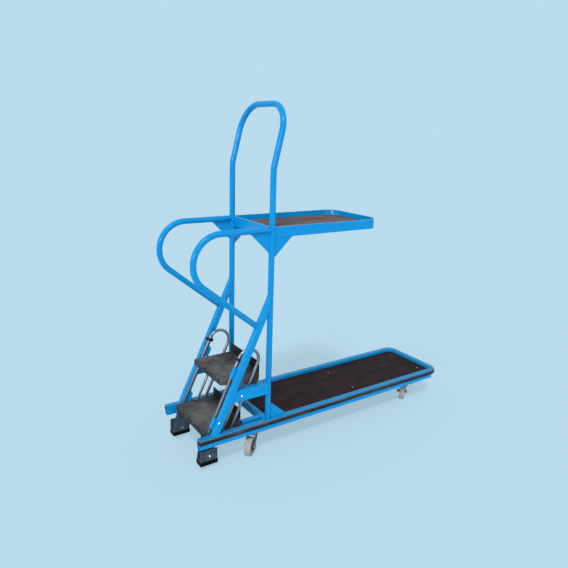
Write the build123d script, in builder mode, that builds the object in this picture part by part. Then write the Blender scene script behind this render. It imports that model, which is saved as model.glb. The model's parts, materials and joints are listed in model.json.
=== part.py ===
from build123d import *
from math import cos, radians, sin, tan
import os

# Step trolley: a long low platform on four swivel castors, with a shelf above it, a pushing hoop,
# two handrails and a pair of sprung treads that settle on rubber feet when somebody climbs them.
# Millimetres. +X runs towards the load end, +Y to the left, +Z up. The origin is on the floor,
# under the middle of the whole trolley. Places along the trolley are measured from the rails'
# step end, and heights from the floor unless a name says otherwise.

os.makedirs("parts", exist_ok=True)

# Platform
platform_width = 440
platform_length = 1722
castor_height = 130
rail_height = 22
rail_depth = 30
tube_wall = 2
tube_corner = 4            # outer corner of every square tube
rail_setback = 53          # the straight lower rails stop this far before the load end
rim_height = 33
rim_web = 4
rim_floor = 3
rim_lip = 6
corner_radius = 60
bumper_proud = 6
bumper_round = 8
deck_drop = 18             # deck's top below the rim's top
deck_thickness = 12
member_width = 30
deck_member_place = 1065
end_member_setback = 86    # the last member's middle, before the load end
step_member_height = 40
seat_gap = 0.2             # welded and laid pieces meet within this

# Upright frame
upright_spacing = 400      # between the centres of the two posts, and of the two stringers
tube_od = 30
post_place = 405
hoop_top_height = 1787
hoop_lean_rise = 296       # height of the leaning part
hoop_lean = 14
hoop_bend_radius = 150
hoop_corner_radius = 135
handrail_height = 1201
handrail_radius = 140
handrail_arc_place = 127
handrail_slope = 39
stringer_slope = 65
stringer_place = 94        # centre line where it stands on the rim
stringer_depth = 34
stringer_width = 30
brace_height = 60
brace_base = 336
plate_thickness = 4
post_gusset_length = 104
post_gusset_rise = 92
top_gusset_length = 105
top_gusset_drop = 100

# Shelf
shelf_end_place = 1105
shelf_width = 410
shelf_base = 1161
shelf_rim_height = 53
shelf_rim_thickness = 5
shelf_ledge = 25
shelf_board_thickness = 18
shelf_corner_radius = 70

# Step unit
tread_width = 308
tread_depth = 225
tread_places = (38, 148)
tread_heights = (204, 450)
tread_lip = 30
cheek_depth = 71
cheek_round = 25
cheek_slope_length = 200
sheet = 3
fold_radius = 5            # outside of the treads' folded edges
kick_rise = 52
kick_thickness = 3
loop_tube_od = 16
loop_spacing = 121         # between the two legs of a loop, square to them
loop_front_place = 168     # front leg's centre where it crosses the brace's level
loop_level = 376
loop_over_tread = 136      # bend's crown above the upper tread
front_leg_base = 180
rear_leg_base = 160
collar_od = 34
collar_length = 14
collar_below_arc = 2
spring_rod_od = 14
spring_rod_base = 172
spring_rod_place = 77      # behind the front leg, square to it
guide_length = 55
guide_wall = 3             # in front of the leg
guide_tail = 34            # behind the leg's centre
guide_over_tread = 30
guide_clearance = 0.5
guide_corner = 8
foot_lift = 20             # pads above the floor until the treads are stood on
foot_place = 17
foot_length = 94
foot_pad_length = 98
foot_pad_width = 54
foot_pad_thickness = 21
foot_holder_width = 46
foot_flange_height = 62
foot_holder_lip = 16

# Castors
step_castor_place = 330
load_castor_setback = 267  # swivel axis, before the load end
castor_offset = 173
castor_headings = (220, 42)        # where the wheels of the right-hand castors trail
castor_ends = ("step", "load")
wheel_diameter = 100
wheel_width = 32
castor_trail = 38
castor_plate_length = 105
castor_plate_width = 85
castor_plate_thickness = 3
race_diameter = 72
race_depth = 6
head_diameter = 64
head_thickness = 8
fork_wall = 3
fork_gap = 42
fork_shoulder = 48
fork_eye_diameter = 26
axle_od = 10
king_pin_od = 12
king_nut_od = 24
king_nut_height = 7
running_clearance = 0.05
bearing_gap = 0.4
tyre_flat = 28             # width of the tyre's level tread
tyre_shoulder = 2.5
hub_diameter = 62
hub_dish = 2               # the hub's web stands in from the tyre's sides
hub_width = 36
hub_boss_diameter = 20
bearer_width = 30
bearer_height = 52
bearer_length = 115

# Levels and places worked out from the sizes above
rail_top = castor_height + rail_height
rim_top = rail_top + rim_height
deck_top = rim_top - deck_drop
deck_base = deck_top - deck_thickness
handrail_overhang = handrail_radius + tube_od / 2 - handrail_arc_place
overall_length = handrail_overhang + platform_length + bumper_proud
step_end = handrail_overhang - overall_length / 2
load_end = step_end + platform_length
rail_y = (platform_width - rail_depth) / 2
platform_inner_y = platform_width / 2 - rail_depth
side_y = upright_spacing / 2
stringer_inner_y = side_y - stringer_width / 2
post_x = step_end + post_place
tube_r = tube_od / 2
hoop_bend_height = hoop_top_height - hoop_lean_rise
loop_top_height = tread_heights[-1] + loop_over_tread
slope_run = 1 / tan(radians(stringer_slope))
member_places = (deck_member_place, platform_length - end_member_setback)
castor_places = (step_castor_place, platform_length - load_castor_setback)
sides = (("left", 1), ("right", -1))
platform = (step_end, load_end, platform_width, corner_radius)


def upright(y):
    """The vertical plane along the trolley at this y, its own x along X and its y up."""
    return Plane.XZ.offset(-y)


def leg_x(place, level, z):
    """X at height z of a line that leans like the stringers and crosses the level at a place."""
    return step_end + place + (z - level) * slope_run


def plan(start, end, width, radius, inset=0):
    """A plan outline, square at its start and round at its far corners, drawn in by the inset."""
    with BuildSketch(mode=Mode.PRIVATE) as outline:
        with Locations(((start + end - inset) / 2, 0)):
            Rectangle(end - inset - start, width - 2 * inset)
        fillet(outline.vertices().group_by(Axis.X)[-1], radius - inset)
    return outline.sketch


def ring(shape, outer_inset, inner_inset, low, high):
    """One layer of a rim: the band between two insets of a plan, open at its start."""
    with BuildSketch(Plane.XY.offset(low)) as band:
        add(plan(*shape, outer_inset))
        add(plan(*shape, inner_inset), mode=Mode.SUBTRACT)
    extrude(band.sketch, amount=high - low)


def box_tube(plane, width, height, length):
    """A round-cornered rectangular tube centred on a plane, running along its normal."""
    inner_corner = tube_corner - tube_wall
    with BuildSketch(plane) as section:
        RectangleRounded(width, height, tube_corner)
        RectangleRounded(
            width - 2 * tube_wall, height - 2 * tube_wall, inner_corner, mode=Mode.SUBTRACT)
    extrude(section.sketch, amount=length)


# Lower side rails: straight box tubes, open at both ends
for side, sign in sides:
    with BuildPart() as rail:
        start = Plane(
            origin=(step_end, sign * rail_y, castor_height + rail_height / 2),
            x_dir=(0, 1, 0), z_dir=(1, 0, 0))
        box_tube(start, rail_depth, rail_height, platform_length - rail_setback)
    rail.part.label = f"rail_{side}"
    export_step(rail.part, f"parts/rail_{side}.step")

# Platform rim: an outward-facing channel bent round the load end
with BuildPart() as platform_rim:
    ring(platform, 0, rail_depth, rail_top, rail_top + rim_floor)
    ring(platform, rail_depth - rim_web, rail_depth, rail_top + rim_floor, rim_top - rim_lip)
    ring(platform, 0, rail_depth, rim_top - rim_lip, rim_top)
platform_rim.part.label = "platform_rim"
export_step(platform_rim.part, "parts/platform_rim.step")

# Bumper: rubber strip filling the channel, its outer edges rounded
with BuildPart() as bumper:
    bumper_back = rail_depth - rim_web - seat_gap
    ring(platform, -bumper_proud, bumper_back, rail_top + rim_floor, rim_top - rim_lip)
    outer_run = bumper.faces().sort_by(Axis.X)[-1]
    rounded = [edge for edge in outer_run.edges() if edge.length > bumper_round * 4]
    fillet(rounded, bumper_round)
bumper.part.label = "bumper"
export_step(bumper.part, "parts/bumper.step")

# Cross members: one between the posts, level with the rim, and two under the deck
with BuildPart() as cross_members:
    across = Plane(
        origin=(post_x, -platform_inner_y, rim_top - step_member_height / 2),
        x_dir=(1, 0, 0), z_dir=(0, 1, 0))
    box_tube(across, member_width, step_member_height, 2 * platform_inner_y)
    for place in member_places:
        middle = (castor_height + deck_base) / 2
        across = Plane(
            origin=(step_end + place, -platform_inner_y, middle), x_dir=(1, 0, 0), z_dir=(0, 1, 0))
        box_tube(across, member_width, deck_base - castor_height, 2 * platform_inner_y)
cross_members.part.label = "cross_members"
export_step(cross_members.part, "parts/cross_members.step")

# Castor bearers: short tubes beside the rails, each carrying the inner half of a castor plate
bearer_y = castor_offset - castor_plate_width / 2 + bearer_width / 2
with BuildPart() as castor_bearers:
    step_bearer_end = post_x - member_width / 2
    load_bearer_end = step_end + member_places[-1] - member_width / 2
    load_bearer_start = step_end + castor_places[1] - castor_plate_length / 2
    for sign in (1, -1):
        start = Plane(
            origin=(step_bearer_end, sign * bearer_y, castor_height + bearer_height / 2),
            x_dir=(0, 1, 0), z_dir=(-1, 0, 0))
        box_tube(start, bearer_width, bearer_height, bearer_length)
        low_height = deck_base - castor_height
        start = Plane(
            origin=(load_bearer_end, sign * bearer_y, castor_height + low_height / 2),
            x_dir=(0, 1, 0), z_dir=(-1, 0, 0))
        box_tube(start, bearer_width, low_height, load_bearer_end - load_bearer_start)
castor_bearers.part.label = "castor_bearers"
export_step(castor_bearers.part, "parts/castor_bearers.step")

# Deck board: film-faced plywood dropped inside the rim, up to the member between the posts
deck_start = post_x + member_width / 2 + seat_gap
with BuildPart() as deck_board:
    with BuildSketch(Plane.XY.offset(deck_base)):
        add(plan(*platform, rail_depth + seat_gap))
        with Locations(((step_end + deck_start) / 2, 0)):
            Rectangle(deck_start - step_end, platform_width, mode=Mode.SUBTRACT)
    extrude(amount=deck_thickness)
deck_board.part.label = "deck_board"
export_step(deck_board.part, "parts/deck_board.step")

# Posts and pushing hoop: one round tube, upright, then leaning, then turned across the top
hoop_top_x = post_x + (hoop_top_height - hoop_bend_height) * tan(radians(hoop_lean))
with BuildPart() as post_hoop:
    with BuildLine() as hoop_path:
        FilletPolyline(
            (post_x, side_y, rim_top),
            (post_x, side_y, hoop_bend_height),
            (hoop_top_x, side_y, hoop_top_height),
            (hoop_top_x, -side_y, hoop_top_height),
            (post_x, -side_y, hoop_bend_height),
            (post_x, -side_y, rim_top),
            radius=(hoop_bend_radius, hoop_corner_radius, hoop_corner_radius, hoop_bend_radius))
    with BuildSketch(Plane(origin=hoop_path.line @ 0, z_dir=hoop_path.line % 0)):
        Circle(tube_r)
    sweep()
post_hoop.part.label = "post_hoop"
export_step(post_hoop.part, "parts/post_hoop.step")

# Where the stringer's faces run, used by the stringer, handrail and brace
along = Vector(cos(radians(stringer_slope)), 0, sin(radians(stringer_slope)))
square = Vector(sin(radians(stringer_slope)), 0, -cos(radians(stringer_slope)))
half_depth_run = stringer_depth / 2 / sin(radians(stringer_slope))


def stringer_front(z):
    return leg_x(stringer_place, rim_top, z) - half_depth_run


def stringer_back(z):
    return leg_x(stringer_place, rim_top, z) + half_depth_run


def clear_of_post(y):
    """Cuts away the post at this y, so that a piece butts on its round side."""
    with Locations((post_x, y, hoop_bend_height / 2)):
        Cylinder(tube_r + seat_gap, hoop_bend_height, mode=Mode.SUBTRACT)


def round_corners(piece, along):
    """Rounds a tube's four long edges, the ones that run along a direction."""
    long_edges = [
        edge for edge in piece.edges()
        if abs(edge.tangent_at(0).dot(along)) > 0.999 and edge.length > stringer_width]
    fillet(long_edges, tube_corner)


# Stringers: box tubes leaning from the rim up to the posts
for side, sign in sides:
    with BuildPart() as stringer:
        with BuildSketch(upright(sign * side_y)):
            with BuildLine():
                top = rim_top + (post_x - stringer_front(rim_top)) / slope_run
                back_top = rim_top + (post_x - stringer_back(rim_top)) / slope_run
                Polyline(
                    (stringer_front(rim_top), rim_top), (post_x, top),
                    (post_x, back_top), (stringer_back(rim_top), rim_top), close=True)
            make_face()
        extrude(amount=stringer_width / 2, both=True)
        round_corners(stringer, along)
        clear_of_post(sign * side_y)
    stringer.part.label = f"stringer_{side}"
    export_step(stringer.part, f"parts/stringer_{side}.step")

# Handrails: straight from the post, round a large bend, then down to the stringer's front face
arc_x = step_end + handrail_arc_place
lower_tangent_x = arc_x - handrail_radius * sin(radians(handrail_slope))
lower_tangent_z = handrail_height - handrail_radius * (1 + cos(radians(handrail_slope)))
corner_x = arc_x - handrail_radius * tan(radians(90 - handrail_slope / 2))
stringer_lead = leg_x(stringer_place, rim_top, lower_tangent_z) - lower_tangent_x
lower_run = stringer_lead / (cos(radians(handrail_slope)) + slope_run * sin(radians(handrail_slope)))
handrail_end_x = lower_tangent_x + lower_run * cos(radians(handrail_slope))
handrail_end_z = lower_tangent_z - lower_run * sin(radians(handrail_slope))
for side, sign in sides:
    y = sign * side_y
    with BuildPart() as handrail:
        with BuildLine() as handrail_path:
            FilletPolyline(
                (post_x, y, handrail_height),
                (corner_x, y, handrail_height),
                (handrail_end_x, y, handrail_end_z),
                radius=handrail_radius)
        with BuildSketch(Plane(origin=handrail_path.line @ 0, z_dir=handrail_path.line % 0)):
            Circle(tube_r)
        sweep()
        clear_of_post(y)
        stringer_face = Plane(
            origin=(stringer_front(rim_top), y, rim_top), x_dir=(0, 1, 0),
            z_dir=(-sin(radians(stringer_slope)), 0, cos(radians(stringer_slope))))
        split(bisect_by=stringer_face, keep=Keep.TOP)
    handrail.part.label = f"handrail_{side}"
    export_step(handrail.part, f"parts/handrail_{side}.step")

# Braces: level box tubes tying each stringer to its post
with BuildPart() as braces:
    for side, sign in sides:
        brace_top = brace_base + brace_height
        with BuildSketch(upright(sign * side_y)):
            with BuildLine():
                Polyline(
                    (stringer_back(brace_base), brace_base), (post_x, brace_base),
                    (post_x, brace_top), (stringer_back(brace_top), brace_top), close=True)
            make_face()
        extrude(amount=stringer_width / 2, both=True)
    round_corners(braces, Vector(1, 0, 0))
    for side, sign in sides:
        clear_of_post(sign * side_y)
braces.part.label = "braces"
export_step(braces.part, "parts/braces.step")

# Gusset plates: three-cornered, standing in the plane of the tubes that they stiffen
with BuildPart() as post_gussets:
    for side, sign in sides:
        with BuildSketch(upright(sign * side_y)):
            with BuildLine():
                Polyline(
                    (post_x, rim_top), (post_x + tube_r + post_gusset_length, rim_top),
                    (post_x + tube_r, rim_top + post_gusset_rise),
                    (post_x, rim_top + post_gusset_rise), close=True)
            make_face()
        extrude(amount=plate_thickness / 2, both=True)
        clear_of_post(sign * side_y)
post_gussets.part.label = "post_gussets"
export_step(post_gussets.part, "parts/post_gussets.step")

with BuildPart() as shelf_gussets:
    handrail_base = handrail_height - tube_r
    for side, sign in sides:
        for top, reach in ((handrail_base, -1), (shelf_base, 1)):
            with BuildSketch(upright(sign * side_y)):
                with BuildLine():
                    Polyline(
                        (post_x, top), (post_x + reach * (tube_r + top_gusset_length), top),
                        (post_x + reach * tube_r, top - top_gusset_drop),
                        (post_x, top - top_gusset_drop), close=True)
                make_face()
            extrude(amount=plate_thickness / 2, both=True)
        clear_of_post(sign * side_y)
shelf_gussets.part.label = "shelf_gussets"
export_step(shelf_gussets.part, "parts/shelf_gussets.step")

# Shelf: an angle-iron rim round a board, closed by a plate between the posts
shelf_start = post_x + shelf_rim_thickness / 2 + seat_gap
shelf = (shelf_start, step_end + shelf_end_place, shelf_width, shelf_corner_radius)
shelf_top = shelf_base + shelf_rim_height
ledge_top = shelf_base + shelf_rim_thickness
with BuildPart() as shelf_rim:
    ring(shelf, 0, shelf_rim_thickness, shelf_base, shelf_top)
    ring(shelf, 0, shelf_ledge, shelf_base, ledge_top)
    for side, sign in sides:
        clear_of_post(sign * side_y)
shelf_rim.part.label = "shelf_rim"
export_step(shelf_rim.part, "parts/shelf_rim.step")

with BuildPart() as shelf_cross_plate:
    with Locations((post_x, 0, shelf_base + shelf_rim_height / 2)):
        Box(shelf_rim_thickness, 2 * side_y, shelf_rim_height)
    for side, sign in sides:
        clear_of_post(sign * side_y)
shelf_cross_plate.part.label = "shelf_cross_plate"
export_step(shelf_cross_plate.part, "parts/shelf_cross_plate.step")

with BuildPart() as shelf_board:
    with BuildSketch(Plane.XY.offset(ledge_top)):
        add(plan(*shelf, shelf_rim_thickness + seat_gap))
    extrude(amount=shelf_board_thickness)
    for side, sign in sides:
        clear_of_post(sign * side_y)
shelf_board.part.label = "shelf_board"
export_step(shelf_board.part, "parts/shelf_board.step")

# Step unit. Each tread is a folded pan: top, front lip and two cheeks that deepen to the back
cheek_y = tread_width / 2
for name, place, height in zip(("lower", "upper"), tread_places, tread_heights):
    front = step_end + place
    back = front + tread_depth
    with BuildPart() as tread:
        with BuildSketch(Plane.XZ):
            with BuildLine():
                Polyline(
                    (front, height), (front, height - tread_lip),
                    (front + sheet, height - tread_lip),
                    (front + cheek_slope_length, height - cheek_depth),
                    (back, height - cheek_depth), (back, height), close=True)
            make_face()
            low_back = vertices().sort_by(Axis.X)[-2:].sort_by(Axis.Y)[0]
            fillet(low_back, cheek_round)
        extrude(amount=cheek_y, both=True)
        top_face = tread.faces().sort_by(Axis.Z)[-1]
        folds = top_face.edges().sort_by(Axis.X)[:-1]
        corners = tread.edges().filter_by(Axis.Z).group_by(Axis.X)[0]
        fillet([*folds, *corners], fold_radius)
        with BuildSketch(Plane.XZ):
            with Locations(((front + sheet + back) / 2, height - sheet - cheek_depth / 2)):
                Rectangle(tread_depth - sheet, cheek_depth)
        extrude(amount=cheek_y - sheet, both=True, mode=Mode.SUBTRACT)
    tread.part.label = f"tread_{name}"
    export_step(tread.part, f"parts/tread_{name}.step")

    with BuildPart() as kick_plate:
        low = height - cheek_depth + cheek_round
        high = height + kick_rise
        with Locations((back + seat_gap + kick_thickness / 2, 0, (low + high) / 2)):
            Box(kick_thickness, tread_width, high - low)
    kick_plate.part.label = f"kick_plate_{name}"
    export_step(kick_plate.part, f"parts/kick_plate_{name}.step")

# Tube loops: one each side, two leaning legs joined by a half-round bend over the upper tread
loop_r = loop_tube_od / 2
loop_y = cheek_y + loop_r + seat_gap
half_loop = loop_spacing / 2
loop_half_run = half_loop / sin(radians(stringer_slope))


def leg_point(z, y):
    """A point on a loop's front leg."""
    return Vector(leg_x(loop_front_place, loop_level, z), y, z)


def loop_middle(z, y):
    """A point on the line midway between a loop's two legs."""
    return leg_point(z, y) + Vector(loop_half_run, 0, 0)


for side, sign in sides:
    y = sign * loop_y
    arc_centre = loop_middle(loop_top_height - half_loop, y)
    front_top = arc_centre - square * half_loop
    back_top = arc_centre + square * half_loop
    front_foot = leg_point(front_leg_base, y)
    back_foot = loop_middle(rear_leg_base, y) + Vector(loop_half_run, 0, 0)
    with BuildPart() as step_loop:
        with BuildLine() as loop_path:
            Line(front_foot, front_top)
            ThreePointArc(front_top, arc_centre + along * half_loop, back_top)
            Line(back_top, back_foot)
        with BuildSketch(Plane(origin=front_foot, z_dir=along)):
            Circle(loop_r)
        sweep()
    step_loop.part.label = f"step_loop_{side}"
    export_step(step_loop.part, f"parts/step_loop_{side}.step")

with BuildPart() as stop_collars:
    for side, sign in sides:
        arc_centre = loop_middle(loop_top_height - half_loop, sign * loop_y)
        seat = arc_centre - square * half_loop - along * (collar_below_arc + collar_length)
        with BuildSketch(Plane(origin=seat, z_dir=along)):
            Circle(collar_od / 2)
            Circle(loop_r + seat_gap, mode=Mode.SUBTRACT)
        extrude(amount=collar_length)
stop_collars.part.label = "stop_collars"
export_step(stop_collars.part, "parts/stop_collars.step")

# Spring rods: between the legs, against the cheeks of both treads
spring_rod_top = tread_heights[1] - tread_lip
rod_offset = Vector(spring_rod_place / sin(radians(stringer_slope)), 0, 0)
with BuildPart() as spring_rods:
    for side, sign in sides:
        rod_y = sign * (cheek_y + spring_rod_od / 2 + seat_gap)
        low_end = leg_point(spring_rod_base, rod_y) + rod_offset
        high_end = leg_point(spring_rod_top, rod_y) + rod_offset
        with BuildSketch(Plane(origin=low_end, z_dir=along)):
            Circle(spring_rod_od / 2)
        extrude(amount=(high_end - low_end).length)
spring_rods.part.label = "spring_rods"
export_step(spring_rods.part, "parts/spring_rods.step")

# Step guides: saddles on the stringers' inner faces, hollowed for the outer half of a front leg
guide_nose = loop_r + guide_clearance + guide_wall
with BuildPart() as step_guides:
    for side, sign in sides:
        for tread_height in tread_heights:
            leg = leg_point(tread_height + guide_over_tread, sign * loop_y)
            guide_y = sign * (loop_y + stringer_inner_y) / 2
            flank = Plane(origin=(leg.X, guide_y, leg.Z), x_dir=square, z_dir=(0, -1, 0))
            with BuildSketch(flank) as block:
                with Locations(((guide_tail - guide_nose) / 2, 0)):
                    Rectangle(guide_tail + guide_nose, guide_length)
                fillet(block.vertices().group_by(Axis.X)[-1], guide_corner)
            extrude(block.sketch, amount=(stringer_inner_y - loop_y) / 2, both=True)
            with BuildSketch(Plane(origin=leg - along * guide_length, z_dir=along)) as groove:
                Circle(loop_r + guide_clearance)
            extrude(groove.sketch, amount=2 * guide_length, mode=Mode.SUBTRACT)
step_guides.part.label = "step_guides"
export_step(step_guides.part, "parts/step_guides.step")

# Feet: a bracket hung from the lower tread's cheeks, and a rubber pad under its holder
pad_top = foot_lift + foot_pad_thickness
bracket_y = cheek_y - sheet - seat_gap
foot_front = step_end + foot_place
holder_middle = bracket_y - plate_thickness + foot_holder_width / 2
with BuildPart() as foot_brackets:
    tread_front = step_end + tread_places[0]
    bracket_top = tread_heights[0] - sheet - seat_gap
    for side, sign in sides:
        with BuildSketch(upright(sign * (bracket_y - plate_thickness / 2))):
            with BuildLine():
                Polyline(
                    (foot_front, pad_top), (foot_front + foot_length, pad_top),
                    (foot_front + foot_length, pad_top + foot_holder_lip),
                    (tread_front + tread_depth / 2, bracket_top),
                    (tread_front + 3 * sheet, bracket_top),
                    (foot_front, pad_top + foot_holder_lip), close=True)
            make_face()
        extrude(amount=plate_thickness / 2, both=True)
        with Locations((
                foot_front + foot_length / 2, sign * holder_middle, pad_top + plate_thickness / 2)):
            Box(foot_length, foot_holder_width, plate_thickness)
        flange_y = bracket_y - plate_thickness + foot_holder_width - plate_thickness / 2
        with Locations((
                foot_front + foot_length / 2, sign * flange_y, pad_top + foot_flange_height / 2)):
            Box(foot_length, plate_thickness, foot_flange_height)
foot_brackets.part.label = "foot_brackets"
export_step(foot_brackets.part, "parts/foot_brackets.step")

with BuildPart() as foot_pads:
    for side, sign in sides:
        with Locations((
                foot_front + foot_length / 2, sign * holder_middle,
                foot_lift + foot_pad_thickness / 2)):
            Box(foot_pad_length, foot_pad_width, foot_pad_thickness)
foot_pads.part.label = "foot_pads"
export_step(foot_pads.part, "parts/foot_pads.step")

# Castors, each made about its own swivel axis with the wheel trailing along +X, then placed
plate_base = castor_height - castor_plate_thickness
axle_height = wheel_diameter / 2
head_top = plate_base - race_depth - bearing_gap
head_base = head_top - head_thickness
nut_top = head_base - bearing_gap
with BuildPart() as castor_plate:
    with Locations((0, 0, plate_base + castor_plate_thickness / 2)):
        Box(castor_plate_length, castor_plate_width, castor_plate_thickness)
    with BuildSketch(Plane.XY.offset(plate_base)):
        Circle(race_diameter / 2)
    extrude(amount=-race_depth)
    with BuildSketch(Plane.XY.offset(plate_base)):
        Circle(king_pin_od / 2)
    extrude(amount=nut_top - plate_base)
    with BuildSketch(Plane.XY.offset(nut_top)):
        RegularPolygon(king_nut_od / 2, 6)
    extrude(amount=-king_nut_height)

with BuildPart() as castor_fork:
    with BuildSketch(Plane.XY.offset(head_base)):
        Circle(head_diameter / 2)
        Circle(king_pin_od / 2 + running_clearance, mode=Mode.SUBTRACT)
    extrude(amount=head_top - head_base)
    for sign in (1, -1):
        with BuildSketch(upright(sign * (fork_gap + fork_wall) / 2)):
            with Locations((castor_trail, axle_height)):
                Circle(fork_eye_diameter / 2)
            with Locations((0, head_base + head_thickness / 4)):
                Rectangle(fork_shoulder, head_thickness / 2)
            make_hull()
        extrude(amount=fork_wall / 2, both=True)
    with BuildSketch(upright(0)):
        with Locations((castor_trail, axle_height)):
            Circle(axle_od / 2)
    extrude(amount=fork_gap / 2 + fork_wall, both=True)

with BuildPart() as castor_tyre:
    with BuildSketch(Plane.XY):
        with BuildLine():
            Polyline(
                (hub_diameter / 2 + seat_gap, -wheel_width / 2),
                (axle_height - tyre_shoulder, -wheel_width / 2),
                (axle_height, -tyre_flat / 2), (axle_height, tyre_flat / 2),
                (axle_height - tyre_shoulder, wheel_width / 2),
                (hub_diameter / 2 + seat_gap, wheel_width / 2), close=True)
        make_face()
    revolve(axis=Axis.Y)

with BuildPart() as castor_hub:
    with BuildSketch(Plane.XZ):
        Circle(hub_diameter / 2)
        Circle(axle_od / 2 + running_clearance, mode=Mode.SUBTRACT)
    extrude(amount=wheel_width / 2 - hub_dish, both=True)
    with BuildSketch(Plane.XZ):
        Circle(hub_boss_diameter / 2)
        Circle(axle_od / 2 + running_clearance, mode=Mode.SUBTRACT)
    extrude(amount=hub_width / 2, both=True)

with BuildPart() as castor_plates:
    for place in castor_places:
        for side, sign in sides:
            add(castor_plate.part.moved(Location((step_end + place, sign * castor_offset, 0))))
castor_plates.part.label = "castor_plates"
export_step(castor_plates.part, "parts/castor_plates.step")

for end, place, heading in zip(castor_ends, castor_places, castor_headings):
    for side, sign in sides:
        turn = -sign * heading
        swivel = Location((step_end + place, sign * castor_offset, 0), (0, 0, turn))
        wheel = swivel * Location((castor_trail, 0, axle_height))
        for piece, pattern, where in (
                ("fork", castor_fork, swivel), ("tyre", castor_tyre, wheel),
                ("hub", castor_hub, wheel)):
            copy = pattern.part.moved(where)
            copy.label = f"castor_{piece}_{end}_{side}"
            export_step(copy, f"parts/{copy.label}.step")
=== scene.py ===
import bpy
import bmesh
import json
from math import ceil, cos, pi, radians, sin, sqrt, tan
from mathutils import Matrix, Vector


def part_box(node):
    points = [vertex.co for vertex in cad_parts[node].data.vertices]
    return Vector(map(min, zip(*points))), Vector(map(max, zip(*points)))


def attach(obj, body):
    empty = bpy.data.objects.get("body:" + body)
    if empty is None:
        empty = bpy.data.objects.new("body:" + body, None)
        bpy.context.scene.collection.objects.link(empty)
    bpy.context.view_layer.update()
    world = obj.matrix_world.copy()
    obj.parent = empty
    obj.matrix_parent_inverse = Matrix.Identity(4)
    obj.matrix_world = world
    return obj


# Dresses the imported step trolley: materials on every solid, weld beads, bolts, nuts, screws and clamp
# ears, then the floor, the light and the camera. Metres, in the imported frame. Places along the trolley
# are measured from the rails' step end.

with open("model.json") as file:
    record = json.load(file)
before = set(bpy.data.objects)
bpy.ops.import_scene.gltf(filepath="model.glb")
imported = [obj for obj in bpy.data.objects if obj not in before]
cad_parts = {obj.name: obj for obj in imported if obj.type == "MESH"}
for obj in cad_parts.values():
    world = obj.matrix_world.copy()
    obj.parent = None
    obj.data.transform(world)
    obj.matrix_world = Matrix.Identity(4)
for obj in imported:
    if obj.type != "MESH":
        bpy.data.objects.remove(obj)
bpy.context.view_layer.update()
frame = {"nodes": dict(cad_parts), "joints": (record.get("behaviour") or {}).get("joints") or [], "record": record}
nodes = frame["nodes"]
record = frame["record"]


def low(node):
    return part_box(node)[0]


def high(node):
    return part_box(node)[1]


# Sizes read from the solids
STEP_END = low("rail_left").x
RAIL_INNER_Y = low("rail_left").y
RIM_TOP = high("platform_rim").z
DECK_TOP = high("deck_board").z
SIDE_Y = (low("stringer_left").y + high("stringer_left").y) / 2
TUBE_R = high("handrail_left").y - SIDE_Y
POST_X = low("post_hoop").x + TUBE_R
BRACE_LOW = low("braces").z
BRACE_TOP = high("braces").z
HANDRAIL_Z = high("handrail_left").z - TUBE_R
SHELF_LOW = low("shelf_rim").z
CHEEK_Y = high("tread_lower").y
LOOP_R = (high("step_loop_left").y - low("step_loop_left").y) / 2
LOOP_Y = high("step_loop_left").y - LOOP_R
STRINGER_INNER_Y = low("stringer_left").y
FOOT_OUTER_Y = high("foot_brackets").y

# The swivel axis of each castor, read from the joints
SWIVEL = "castor_swivel_"
CASTOR_AXES = {
    joint["name"].removeprefix(SWIVEL): joint["pos_m"][:2]
    for joint in frame["joints"] if joint["name"].startswith(SWIVEL)}

# The sides of the trolley, left and right
SIDES = (1, -1)
X, Y, Z = Vector((1, 0, 0)), Vector((0, 1, 0)), Vector((0, 0, 1))

# The leaning line that stringers, legs and rods share
SLOPE = radians(65)
ALONG = Vector((cos(SLOPE), 0, sin(SLOPE)))
SQUARE = Vector((sin(SLOPE), 0, -cos(SLOPE)))
STRINGER_DEPTH = 0.034
STRINGER_X = low("stringer_left").x + STRINGER_DEPTH / 2 / sin(SLOPE)

# Sizes that no box gives, the same as in the part's source
SEAT_GAP = 0.0002
SHEET_T = 0.003
GUSSET_T = 0.004
GUSSET_DROP = 0.100
HANDRAIL_R = 0.140
HANDRAIL_ARC = 0.127
HANDRAIL_LEAN = radians(39)
MEMBER_WIDTH = 0.030
LEG_PLACE = 0.168
LEG_LEVEL = 0.376
LEG_SPACING = 0.121
ROD_SPACING = 0.077
ROD_R = 0.007
GUIDE_RISE = 0.030
GUIDE_FRONT = 0.0115
GUIDE_TAIL = 0.034
GUIDE_LENGTH = 0.055
BRACKET_T = 0.004
FORK_WIDTH = 0.048
CASTOR_PLATE_T = 0.003
PLATE_LOW = high("castor_plates").z - CASTOR_PLATE_T

# Weld beads: their radii and ripples, the stitches between rim and rail, and the beads' ends on member
# and cheeks
BEAD_R = 0.0022
RIPPLE = 0.0028
PLATE_BEAD_R = 0.0016
GUIDE_BEAD_R = 0.0017
STITCH_START = 0.06
STITCH_MARGIN = 0.05
STITCH_LENGTH = 0.035
STITCH_SPACING = 0.2
MEMBER_BEAD_LOW = 0.037
MEMBER_BEAD_HIGH = 0.003
CHEEK_BEAD_LENGTHS = (("tread_lower", 0.060), ("tread_upper", 0.062))
CHEEK_BEAD_DROP = 0.006
CHEEK_BEAD_PROUD = 0.0012
CHEEK_BEAD_MARGIN = 0.004
LEG_BEAD_OFFSET = 0.0035

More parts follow.
